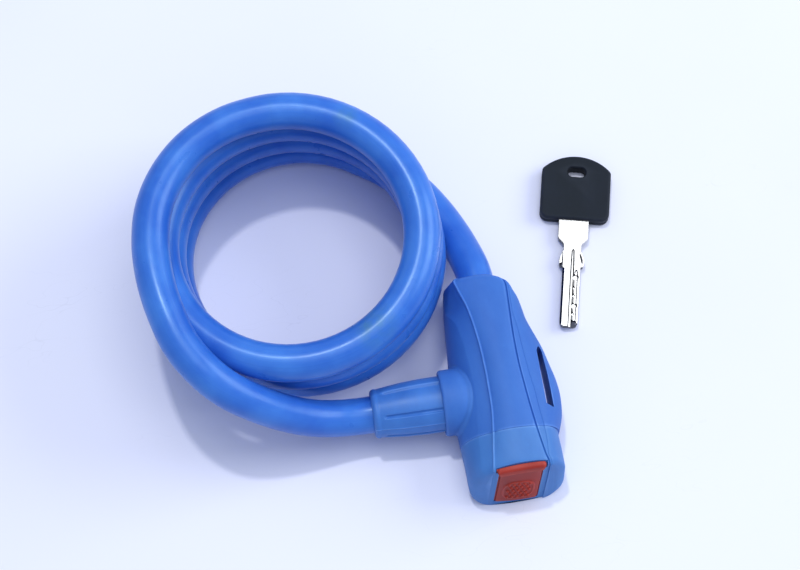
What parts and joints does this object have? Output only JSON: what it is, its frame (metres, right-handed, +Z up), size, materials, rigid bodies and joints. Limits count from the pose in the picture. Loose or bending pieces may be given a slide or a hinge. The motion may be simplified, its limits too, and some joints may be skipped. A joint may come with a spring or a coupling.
{
  "type": "coiled cable lock",
  "caption": "Sheathed steel cable wound in a coil, fixed to a moulded key lock at one end, with a locking plug in its side socket and its key.",
  "frame": {"origin": "on the floor under the housing, near the middle of its width, 2.9 mm behind the plug's axis", "axes": "+Z up from the floor, +Y along the housing from the keyhole end to the fixed cable end, +X from the plug through the socket to the strap slot"},
  "size_m": [0.1616, 0.139, 0.054],
  "materials": {
    "cable_sheath": "clear blue vinyl, glossy",
    "housing_plastic": "moulded, fine satin grain",
    "cap_plastic": "moulded, fine satin grain",
    "cover_plastic": "moulded, satin",
    "cast_zinc": "die cast, dull",
    "brass": "machined",
    "plated_steel": "zinc plated",
    "spring_steel": "oiled wire",
    "steel_rope": "stranded wire",
    "nickel_silver": "bright plated, milled",
    "key_plastic": "moulded, fine grain"
  },
  "bodies": {
    "lock": {"housing": "housing_plastic", "front_cap": "cap_plastic", "lock_case": "cast_zinc", "cylinder_shell": "brass", "cylinder_pin": "plated_steel", "socket_liner": "plated_steel", "case_screws": "plated_steel", "bolt_cover": "plated_steel", "bolt_spring": "spring_steel", "ejector_spring": "spring_steel", "cable_ferrule": "plated_steel", "anchor_pin": "plated_steel", "rope_end": "steel_rope", "cable_tail": "cable_sheath", "cable_coil": "cable_sheath"},
    "core": {"cylinder_core": "brass", "slider_tumblers": "plated_steel", "slider_springs": "spring_steel", "sidebar": "brass", "core_clip": "spring_steel", "locking_cam": "plated_steel"},
    "bolt": {"locking_bolt": "plated_steel"},
    "ejector": {"ejector_pin": "plated_steel"},
    "cover": {"keyhole_cover": "cover_plastic"},
    "plug": {"plug_pin": "plated_steel", "plug_ferrule": "plated_steel", "plug_rope_end": "steel_rope", "plug_sleeve": "housing_plastic", "cable_lead": "cable_sheath"},
    "key": {"key_blade": "nickel_silver", "key_head": "key_plastic"}
  },
  "joints": [
    {"name": "core_turn", "type": "hinge", "parent": "lock", "child": "core", "pos_m": [0.001, -0.018, 0.014], "axis": [0, -1, 0], "range_deg": [0, 90]},
    {"name": "bolt_slide", "type": "slide", "parent": "lock", "child": "bolt", "axis": [0, 0, -1], "range_m": [0, 0.0018], "deforming": ["bolt_spring"]},
    {"name": "plug_slide", "type": "slide", "parent": "lock", "child": "plug", "axis": [-1, 0, 0], "range_m": [0, 0.025], "deforming": ["cable_lead"]},
    {"name": "ejector_slide", "type": "slide", "parent": "lock", "child": "ejector", "axis": [-1, 0, 0], "range_m": [0, 0.0022], "deforming": ["ejector_spring"]},
    {"name": "cover_slide", "type": "slide", "parent": "lock", "child": "cover", "axis": [0.0821, 0.1961, 0.9771], "range_m": [0, 0.017]},
    {"name": "key_lift", "type": "slide", "parent": "lock", "child": "key", "axis": [0, 0, 1], "range_m": [0, 0.03]}
  ],
  "couplings": [
    {"joint": "core_turn", "follows": "bolt_slide", "rad_per_m": 872.6},
    {"joint": "ejector_slide", "follows": "plug_slide", "ratio": 0.088}
  ]
}
